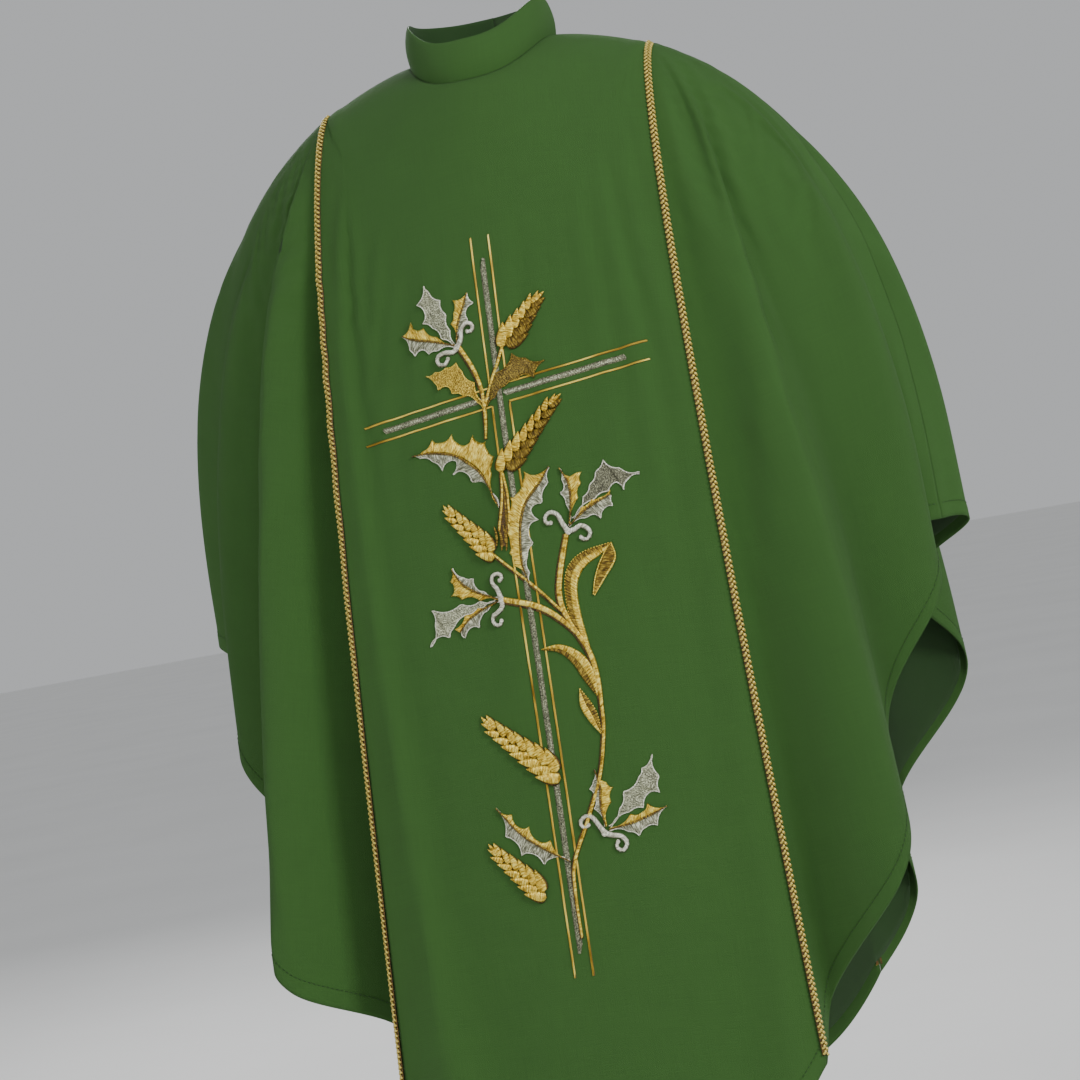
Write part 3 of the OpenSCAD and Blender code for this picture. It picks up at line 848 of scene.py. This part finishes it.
def wheat_ear(piece, foot, tip, pairs, wide, dark_side=0, base=1.0):
    """Two rows of overlapping grains that lean outwards, and a grain at the tip."""
    foot, tip = np.asarray(foot, float), np.asarray(tip, float)
    axis = tip - foot
    length = np.linalg.norm(axis)
    axis /= length
    side = np.array([-axis[1], axis[0]])
    long, body = 1.10 * wide, length - 0.82 * wide
    for number in range(pairs - 1, -1, -1):
        at = (number + 0.15) / pairs
        size = 1 - 0.42 * at
        for row in (-1, 1):
            start = foot + axis * body * (at + 0.04 * row) + side * row * 0.05 * wide
            lean = math.radians(31 - 11 * at)
            way = axis * math.cos(lean) + side * row * math.sin(lean)
            thread = BRONZE if row == dark_side else GOLD
            grain(piece, start, way, long * size, 0.51 * wide * size, thread, base + 0.25 * (pairs - number))
    for lean, start in ((-0.16, 0.93), (0.20, 0.97)):
        way = axis * math.cos(lean) + side * math.sin(lean)
        grain(piece, foot + axis * body * start, way, 0.62 * wide, 0.24 * wide, GOLD, base + 0.4)


# ---- The cross
BAR_SLOPE = 0.11
SILVER_WIDTH = 7
CROSS_TOP, CROSS_FOOT = -163, 583
SILVER_TOP, SILVER_FOOT = -140, 560
GOLD_ARM, SILVER_ARM = 155, 132
EDGE_GAP = 9.5


def bar_v(u):
    return 0.5 - BAR_SLOPE * u


def silver_bar(piece, a, b, back, base):
    """A raised silver bar. The brighter silver band along its middle is a painted highlight, and the darker,
    speckled silver at its sides is painted shade.
    """
    line = np.array([a, b], float)
    band(piece, line, SILVER_WIDTH, DARK_SILVER, 0.7, slant=0.03, base=base, back=back)
    band(piece, line, SILVER_WIDTH * 0.62, SILVER_FILL, 1.2, slant=0.03, base=base + 0.3, back=back)


def gold_line(piece, points, back, base=0.0):
    line = np.asarray(points, float)
    # The wider brown band shows as a dark edge on each side of the gold: painted shade along the raised line.
    band(piece, line, 3.2, BROWN, 0.6, base=base, back=back, calm=0.03)
    band(piece, line, 2.3, GOLD, 1.1, slant=0.02, base=base + 0.2, back=back, calm=0.03)


def make_cross(back):
    prefix = "back_" if back else ""
    upright = Piece("back_cross_silver" if back else "cross_silver_upright", *THREADS)
    silver_bar(upright, (0, SILVER_TOP), (0, SILVER_FOOT), back, 0.1)
    bar = upright if back else Piece("cross_silver_bar", *THREADS)
    for side in (-1, 1):
        inner = side * (SILVER_WIDTH / 2 + 1)
        silver_bar(bar, (inner, bar_v(inner)), (side * SILVER_ARM, bar_v(side * SILVER_ARM)), back, 0.1)
    upright.make("garment", upright.name, "silver_thread")
    if not back:
        bar.make("garment", "cross_silver_bar", "silver_thread")
    edging = Piece(f"{prefix}cross_gold_edging", *THREADS)
    for side in (-1, 1):
        for end, sign in ((CROSS_TOP, -1), (CROSS_FOOT, 1)):
            corner = (side * EDGE_GAP, bar_v(side * EDGE_GAP) + sign * EDGE_GAP)
            gold_line(edging, [(side * EDGE_GAP, end), corner], back)
            arm_end = side * GOLD_ARM
            gold_line(edging, [corner, (arm_end, bar_v(arm_end) + sign * EDGE_GAP)], back, 0.02)
    edging.make("garment", edging.name, "gold_thread")


# ---- Braids
BRAID_PITCH = 5.3


def braid_line(back, side, count):
    """Places along a panel's long edge, evenly spaced, with the way across, the way out and the length."""
    s = np.linspace(0, 0.992, 1600)
    s = s[edge_turn(s, back) < 88]
    turn = side * edge_turn(s, back)
    turn = 180 - turn if back else turn
    points = cloth(turn, s)
    steps = distances(points)
    even = np.interp(np.linspace(0, steps[-1], count), steps, s)
    turn = side * edge_turn(even, back)
    turn = 180 - turn if back else turn
    middle, high = cloth(turn, even), cloth(turn, even, 1.0)
    out = high - middle
    across = np.cross(out, unit(np.gradient(middle, axis=0)))
    return middle, across, out, steps[-1]


def make_braid(back, side, name):
    strands = round(braid_line(back, side, 2)[-1] / BRAID_PITCH)
    fine = strands * 8 + 1
    middle, across, out, _ = braid_line(back, side, fine)
    piece = Piece(name, *THREADS)

    def place(i, x, z, h):
        """x across, z ahead of point i in steps of the line, h outwards."""
        row = np.clip(i + z / BRAID_PITCH * 8, 0, fine - 1)
        lower = np.clip(np.floor(row).astype(int), 0, fine - 2)
        share = (row - lower)[..., None]
        mix = lambda values: values[lower] * (1 - share) + values[lower + 1] * share
        return mix(middle) + mix(across) * np.asarray(x)[..., None] + mix(out) * np.asarray(h)[..., None]

    rows = np.arange(0, fine, 2)
    # A brown sheet under the strands, seen only in the gaps between them: painted shade in the gaps.
    crown = [(-3.6, -0.4), (-3.4, 0.4), (0, 0.9), (3.4, 0.4), (3.6, -0.4)]
    base, floor = (np.stack([place(rows, np.full(len(rows), x), 0.0, np.full(len(rows), h))
                             for x, h in profile], 1) for profile in (crown, [(x, -0.6) for x, _ in crown]))
    uv = np.stack(np.broadcast_arrays(rows[:, None] * BRAID_PITCH / 8, np.arange(5)[None, :] * 1.8), -1)
    slab(piece, base, floor, uv, material=BROWN)
    t = np.linspace(0, 1, 7)
    for number in range(strands):
        for lean in (-1, 1):
            x = lean * (0.1 + 3.7 * t)
            z = -2.6 + 5.6 * t + (BRAID_PITCH / 2 if lean > 0 else 0) - 2.0 * t ** 3
            h = 1.55 + 0.75 * np.sin(np.pi * np.clip(t * 1.05, 0, 1)) - 1.3 * t ** 4
            path = place(number * 8 + 4, x, z, h)
            thick = 1.35 * (0.55 + 0.55 * np.sin(np.pi * (0.12 + 0.8 * t)))
            up = np.broadcast_to(out[min(fine - 1, number * 8 + 4)], path.shape)
            tube(piece, path, thick, 6, BRAID_GOLD, flat=0.8, up=up)
    piece.make("garment", name, "gold_braid")


# ---- Motifs on the front panel: each point is (u, v) from the crossing of the cross
def make_stems(piece):
    stem(piece, [(-37, -57), (-25, -32), (-19, -11), (-18, 6), (-18, 20)], (4.6, 4.6, 4.0, 3.4), base=0.9)
    stem(piece, [(10, -47), (2, -30), (-9, -9), (-19, 14)], (3.0, 3.6, 3.2), base=0.9)
    stem(piece, [(-18, 14), (-19, 28), (-21, 42)], (4.4, 3.2, 2.2), base=1.1)
    shade = smooth_line([(-8, 78), (-9, 104), (-14, 130), (-18, 152)])
    band(piece, shade, (3, 9, 12, 8), BROWN, 0.8, base=0.5)
    stem(piece, [(-9, 76), (-12, 104), (-20, 136)], (2.4, 3.0, 2.6), base=0.9)
    stem(piece, [(-8, 76), (-6, 102), (-8, 130)], (2.2, 2.8, 2.4), base=1.0)
    stem(piece, [(-9, 92), (-10, 120), (-15, 148)], (1.6, 2.6, 2.2), BRONZE, base=1.0)
    for u, v, long in ((-25, 131, 20), (-20, 134, 22), (-15, 131, 26)):
        band(piece, smooth_line([(u, v), (u + 1.5, v + long / 2), (u, v + long)]), (1, 3.6, 1), BRONZE, 1.2,
             slant=0.05, base=1.3)
    stem(piece, [(-30, 158), (-7, 181), (13, 202), (33, 226)], (2.4, 3.0, 2.8), base=0.8)
    stem(piece, [(48, 150), (36, 187), (32, 212), (38, 236), (54, 270)], (5.0, 6.0, 5.8, 4.8, 3.0), base=0.9)
    stem(piece, [(-27, 204), (7, 216), (28, 231), (46, 252), (56, 276)], (5.4, 6.4, 5.8, 4.8, 3.0), base=1.1)
    trunk = [(33, 226), (43, 246), (54, 270), (58, 296), (58, 321), (56, 349), (46, 390), (28, 430),
             (8, 470), (4, 500), (4, 545)]
    stem(piece, trunk, (3.0, 5.6, 5.6, 4.0, 3.6, 3.6, 3.8, 3.8, 3.4, 3.0, 2.4), base=1.3)


def fill_leaf(piece, lower, upper, fill, edge):
    """A leaf filled with short brick-like stitches inside a satin outline."""
    edges = scalloped(lower, upper), scalloped(upper, lower)
    satin(piece, *edges, fill, 1.3, 0.12, 0.9, split=4.2)
    for line in edges:
        outline(piece, line, edge, 1.4)


def two_tone_leaf(piece, rib, gold, silver, slant, base=0.5):
    """A leaf or petal of two satin halves, gold and silver, outlined and with a stitched rib."""
    silver_edge = scalloped(silver, rib)
    satin(piece, smooth_line(rib), scalloped(gold, rib), GOLD, 1.6, slant, base)
    satin(piece, smooth_line(rib), silver_edge, SILVER, 1.4, slant, base)
    outline(piece, silver_edge, PALE, base + 0.4, 1.3)
    band(piece, smooth_line(rib), (1.4, 2.6, 2.4, 1.2), BRONZE, 0.8, base=base + 1.0)
    running(piece, rib, BROWN, base + 1.7, width=1.1)


def middle_of(a, b, share):
    a, b = smooth_line(a), smooth_line(b)
    t = np.linspace(0, 1, 40)
    return along(a, t) * (1 - share) + along(b, t) * share


def shaded_blade(piece, dark, bright, dots=True):
    """A blade whose outer half is bronze and inner half gold, with a dotted edge."""
    satin(piece, smooth_line(dark), middle_of(dark, bright, 0.52), BRONZE, 1.3, 0.03, 0.7)
    satin(piece, middle_of(dark, bright, 0.38), smooth_line(bright), GOLD, 2.1, 0.03, 0.8)
    if dots:
        running(piece, dark, GOLD, 1.1, 1.6, 1.4, 1.3)


def bent_leaf(piece, outer, inner, fold_right, fold_left):
    """A blade whose top is folded over, with a gold edge on each side of the fold."""
    shaded_blade(piece, outer, inner)
    satin(piece, smooth_line(fold_right), smooth_line(fold_left), BRONZE, 1.4, 0.03, 1.0)
    band(piece, smooth_line(fold_right), (1.6, 2.4, 1.4), GOLD, 1.2, base=1.6)
    band(piece, smooth_line(fold_left), (1.2, 1.6, 1.2), GOLD, 0.9, base=1.6)


def lily(piece, curls, petals, big_petal):
    """A lily in side view: a stippled petal behind, two satin petals, and curled sepals at its foot."""
    first, second, fill = big_petal
    edges = scalloped(first, second), scalloped(second, first)
    satin(piece, *edges, fill, 1.2, 0.05, 0.5, split=4.2)
    for line in edges:
        outline(piece, line, PALE, 1.0)
    for rib, gold, silver in petals:
        two_tone_leaf(piece, rib, gold, silver, 0.08, 0.9)
    for points in curls:
        curl(piece, points)
    bulb(piece, curls[0][0], 3.6, PALE, 1.5)


# How each motif is drawn, and what its function takes after the piece
MOTIFS = {
    "main_stem": (make_stems,),
    "left_gold_leaf": (
        fill_leaf,
        [(-19, 14), (-25, 4), (-39, -6), (-50, -9), (-54, -18), (-64, -15), (-68, -25), (-76, -32)],
        [(-18, 6), (-25, -16), (-37, -31), (-41, -40), (-53, -36), (-65, -34), (-76, -32)],
        GOLD_FILL, GOLD),
    "right_bronze_leaf": (
        fill_leaf,
        [(-17, 15), (-4, 2), (8, -7), (20, -11), (29, -15), (38, -9), (41, -18), (51, -25)],
        [(-18, 12), (-10, -11), (0, -22), (12, -27), (18, -38), (31, -31), (51, -25)],
        BRONZE_FILL, BRONZE),
    "holly_leaf": (
        two_tone_leaf,
        [(-104, 46), (-84, 46), (-60, 52), (-44, 63), (-32, 76), (-24, 93), (-17, 112)],
        [(-104, 46), (-91, 42), (-80, 32), (-72, 37), (-57, 30), (-52, 41), (-43, 44), (-35, 35),
         (-31, 43), (-22, 44), (-21, 54), (-15, 61), (-20, 78), (-17, 112)],
        [(-104, 46), (-96, 49), (-82, 55), (-73, 66), (-66, 58), (-56, 59), (-63, 72), (-51, 70),
         (-43, 83), (-34, 82), (-23, 97), (-17, 113)],
        -0.06),
    "centre_leaf": (
        two_tone_leaf,
        [(40, 81), (28, 96), (13, 110), (4, 128), (0, 151), (-1, 173), (3, 193)],
        [(40, 81), (30, 86), (13, 81), (11, 90), (-4, 105), (-10, 121), (-13, 140), (-13, 160),
         (-10, 173), (3, 193)],
        [(40, 82), (37, 97), (28, 116), (15, 119), (22, 132), (11, 136), (13, 154), (5, 166),
         (5, 182), (4, 194)],
        0.05, 0.8),
    "bent_leaf": (
        bent_leaf,
        [(53, 270), (42, 246), (38, 220), (40, 194), (48, 179), (64, 170), (91, 166)],
        [(56, 270), (51, 231), (51, 205), (57, 191), (66, 183), (78, 177), (90, 169)],
        [(91, 166), (93, 182), (80, 199), (67, 215)],
        [(88, 168), (77, 184), (70, 199), (66, 214)]),
    "crescent_leaf": (
        shaded_blade,
        [(5, 260), (22, 265), (34, 277), (42, 293), (49, 305), (55, 314)],
        [(5, 259), (24, 257), (42, 266), (53, 280), (57, 297), (56, 313)],
        False),
    "small_leaf": (
        shaded_blade,
        [(38, 303), (46, 316), (52, 330), (54, 350)],
        [(38, 303), (36, 321), (43, 337), (53, 351)]),
    "foot_leaf": (
        two_tone_leaf,
        [(4, 470), (-20, 455), (-44, 436), (-66, 408)],
        [(4, 470), (-14, 446), (-26, 446), (-34, 430), (-44, 430), (-50, 416), (-66, 408)],
        [(4, 470), (-16, 464), (-24, 470), (-38, 456), (-46, 458), (-54, 440), (-60, 438), (-66, 408)],
        0.06),
    # A lily's two curls, its two small petals and its big one
    "right_flower": (
        lily,
        ([(50, 148), (45, 138), (42, 130), (35, 126), (29, 130), (29, 136), (34, 137)],
         [(50, 148), (57, 147), (63, 144), (70, 148), (72, 154), (67, 159), (62, 156)]),
        (([(52, 143), (57, 120), (57, 101), (50, 84)],
          [(54, 143), (65, 117), (70, 103), (72, 92), (62, 95), (50, 84)],
          [(51, 143), (52, 121), (47, 109), (52, 106), (51, 97), (50, 84)]),
         ([(52, 143), (70, 130), (86, 123), (98, 119)],
          [(53, 141), (66, 126), (78, 120), (86, 120), (98, 114)],
          [(52, 144), (71, 138), (79, 136), (85, 142), (89, 132), (99, 131), (98, 120)])),
        ([(56, 136), (70, 117), (78, 106), (86, 94), (95, 84), (110, 95), (129, 102)],
         [(58, 138), (81, 121), (96, 116), (105, 108), (111, 118), (117, 107), (129, 104)], DARK_SILVER)),
    "lower_left_flower": (
        lily,
        ([(-28, 204), (-31, 193), (-36, 186), (-34, 179), (-27, 178), (-24, 182), (-27, 185)],
         [(-28, 204), (-28, 211), (-34, 216), (-40, 219), (-40, 226), (-34, 229), (-31, 225)]),
        (([(-31, 203), (-54, 193), (-68, 183), (-78, 167)],
          [(-32, 205), (-52, 202), (-72, 198), (-84, 193), (-79, 187), (-82, 178), (-78, 165)],
          [(-31, 201), (-46, 193), (-54, 189), (-56, 178), (-67, 176), (-77, 165)]),
         ([(-31, 205), (-53, 212), (-67, 219), (-78, 230)],
          [(-32, 204), (-56, 208), (-71, 213), (-84, 226), (-78, 230)],
          [(-30, 206), (-45, 213), (-53, 218), (-56, 229), (-64, 226), (-73, 236), (-77, 231)])),
        ([(-34, 203), (-52, 202), (-73, 202), (-106, 203), (-104, 219), (-112, 240)],
         [(-35, 205), (-49, 209), (-62, 213), (-84, 224), (-90, 234), (-102, 231), (-112, 240)],
         SILVER_FILL)),
    "upper_left_flower": (
        lily,
        ([(-38, -55), (-33, -63), (-31, -73), (-25, -78), (-19, -75), (-20, -69), (-25, -69)],
         [(-38, -55), (-43, -51), (-52, -52), (-60, -49), (-60, -42), (-53, -40), (-49, -45)]),
        (([(-40, -57), (-61, -65), (-86, -72), (-98, -78)],
          [(-40, -59), (-58, -70), (-72, -82), (-82, -82), (-86, -91), (-98, -78)],
          [(-40, -55), (-59, -55), (-70, -54), (-76, -60), (-85, -54), (-90, -61), (-98, -78)]),
         ([(-38, -60), (-34, -78), (-26, -94), (-20, -108)],
          [(-39, -60), (-42, -80), (-38, -90), (-37, -104), (-20, -108)],
          [(-37, -60), (-30, -74), (-22, -80), (-24, -90), (-14, -96), (-20, -108)])),
        ([(-40, -59), (-43, -73), (-45, -90), (-50, -106), (-62, -118), (-66, -124)],
         [(-42, -58), (-53, -66), (-62, -80), (-72, -86), (-68, -96), (-76, -106), (-66, -124)],
         SILVER_FILL)),
    "lower_right_flower": (
        lily,
        ([(42, 447), (37, 438), (32, 430), (25, 428), (19, 433), (22, 439), (27, 437)],
         [(42, 447), (50, 450), (58, 452), (63, 459), (58, 466), (52, 462), (54, 457)]),
        (([(44, 441), (42, 420), (44, 402), (41, 384)],
          [(46, 441), (53, 418), (57, 404), (51, 398), (41, 384)],
          [(43, 441), (35, 422), (38, 412), (33, 402), (38, 396), (41, 384)]),
         ([(47, 444), (70, 441), (90, 436), (107, 430)],
          [(48, 442), (70, 432), (82, 432), (88, 424), (107, 430)],
          [(47, 446), (66, 449), (76, 455), (84, 447), (95, 447), (107, 430)])),
        ([(47, 441), (60, 426), (66, 410), (84, 398), (88, 390), (97, 384), (100, 378)],
         [(49, 443), (70, 430), (84, 428), (92, 414), (102, 416), (104, 400), (100, 378)],
         SILVER_FILL)),
    # An ear's foot and tip, how many pairs of grains it has, its width, and which row is dark
    "top_wheat_ear": (wheat_ear, (10, -45), (62, -101), 5, 24, 1),
    "centre_wheat_ear": (wheat_ear, (-8, 78), (66, 4), 7, 22, 1),
    "left_wheat_ear": (wheat_ear, (-28, 160), (-84, 97), 6, 21, 0),
    "lower_wheat_ear": (wheat_ear, (6, 386), (-76, 313), 7, 25, 0),
    "foot_wheat_ear": (wheat_ear, (-26, 500), (-86, 439), 6, 22, 0)}


def make_motifs():
    for name, (draw, *shape) in MOTIFS.items():
        piece = Piece(name, *THREADS)
        draw(piece, *shape)
        slot = "silver_thread" if name.endswith("flower") else "gold_thread"
        piece.make("garment", name, "bronze_thread" if "bronze" in name else slot)


# ---- Camera, lights and floor
def make_camera():
    yaw, roll = math.radians(15.5), math.radians(10.1)
    target, distance = Vector((0, -0.190, -0.420)), 2.441
    ahead = Vector((-math.sin(yaw), math.cos(yaw), 0))
    level_right = Vector((math.cos(yaw), math.sin(yaw), 0))
    level_up = level_right.cross(ahead)
    right = level_right * math.cos(roll) - level_up * math.sin(roll)
    up = level_up * math.cos(roll) + level_right * math.sin(roll)
    place = target - ahead * distance + right * 0.035 - up * 0.093
    camera = bpy.data.objects.new("camera", bpy.data.cameras.new("camera"))
    camera.data.angle = math.radians(25)
    camera.matrix_world = Matrix((right, up, -ahead)).transposed().to_4x4()
    camera.location = place
    bpy.context.collection.objects.link(camera)
    bpy.context.scene.camera = camera


def area_light(name, place, target, size, power):
    light = bpy.data.lights.new(name, "AREA")
    light.size, light.energy = size, power
    obj = bpy.data.objects.new(name, light)
    obj.location = place
    obj.rotation_euler = (Vector(target) - Vector(place)).to_track_quat("-Z", "Y").to_euler()
    bpy.context.collection.objects.link(obj)


FLOOR_DROP = 0.30


def make_studio():
    floor_z = CAD_BOX[0][2] - FLOOR_DROP
    steps = np.linspace(0, 2 * np.pi, 64, endpoint=False)
    rings = [[(r * math.cos(a), r * math.sin(a), floor_z) for a in steps] for r in (0.5, 3, 12, 40)]
    mesh = bpy.data.meshes.new("floor")
    faces = [tuple(range(64))]
    faces += [(64 * r + i, 64 * (r + 1) + i, 64 * (r + 1) + (i + 1) % 64, 64 * r + (i + 1) % 64)
              for r in range(3) for i in range(64)]
    mesh.from_pydata([point for ring in rings for point in ring], [], faces)
    look = Look("studio_floor", 0.9)
    clouds = look.noise(look.nodes.new("ShaderNodeTexCoord").outputs["Object"], 3, 1.5)
    look.colour(clouds, (0.3, (0.80, 0.80, 0.79)), (0.7, (0.84, 0.84, 0.83)))
    mesh.materials.append(look.material)
    floor = bpy.data.objects.new("floor", mesh)
    bpy.context.collection.objects.link(floor)
    world = bpy.data.worlds.new("studio")
    world.use_nodes = True
    world.node_tree.nodes["Background"].inputs["Color"].default_value = (0.96, 0.98, 1.0, 1)
    world.node_tree.nodes["Background"].inputs["Strength"].default_value = 0.50
    bpy.context.scene.world = world
    area_light("key", (3.3, -1.9, 1.3), (0, -0.1, -0.5), 1.2, 128)
    area_light("fill", (-1.3, -3.5, 0.8), (0, 0, -0.5), 2.4, 46)
    area_light("back", (-1.4, 3.0, 1.6), (0, 0, -0.4), 1.6, 75)


make_camera()
make_studio()
make_cloth()
make_neck()
for behind in (False, True):
    make_cross(behind)
    for side, way in (("left", 1), ("right", -1)):
        make_braid(behind, way, f"{'back' if behind else 'front'}_{side}_braid")
make_motifs()
